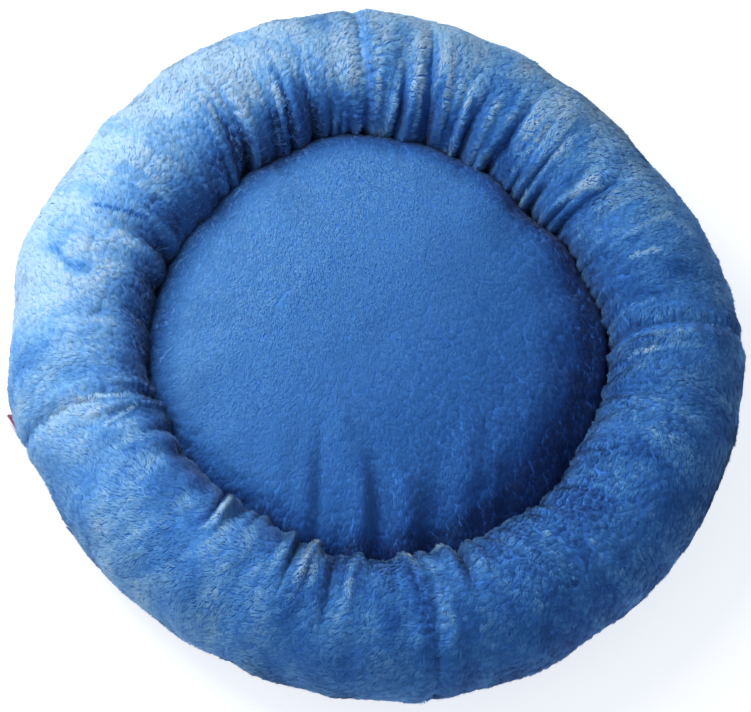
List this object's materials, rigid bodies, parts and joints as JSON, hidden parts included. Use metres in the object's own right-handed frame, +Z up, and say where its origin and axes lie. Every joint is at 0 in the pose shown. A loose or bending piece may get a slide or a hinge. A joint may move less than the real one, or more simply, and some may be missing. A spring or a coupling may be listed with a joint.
{
  "type": "round pet cushion bed",
  "caption": "Round plush pet bed: a fat stuffed ring rim gathered onto a soft domed sewn-in cushion, on a flat woven base cloth.",
  "frame": {"origin": "centre of the underside, on the floor", "axes": "+Z up through the middle of the bed; the label side of the rim is at -X, and the front cross seam is towards -Y"},
  "size_m": [0.6038, 0.6, 0.11],
  "materials": {
    "rim_plush": "short-pile polyester plush, brushed",
    "cushion_plush": "short-pile polyester plush, lying flatter than the rim's",
    "base_cloth": "plain-woven polyester, navy",
    "fibre_filling": "loose white polyester fibre",
    "thread": "dark red polyester sewing thread",
    "flag_label": "woven satin label, burgundy, blank",
    "care_label": "satin ribbon label, white, blank"
  },
  "bodies": {
    "root": {"rim_cover_back_right": "rim_plush", "rim_cover_back_left": "rim_plush", "rim_cover_front_left": "rim_plush", "rim_cover_front_right": "rim_plush", "cushion_cover": "cushion_plush", "base_cloth": "base_cloth", "rim_filling": "fibre_filling", "cushion_filling": "fibre_filling", "inner_seam_thread": "thread", "hem_seam_thread": "thread", "cross_seam_thread_right": "thread", "cross_seam_thread_back": "thread", "cross_seam_thread_left": "thread", "cross_seam_thread_front": "thread", "flag_label": "flag_label", "care_label": "care_label"}
  },
  "joints": []
}
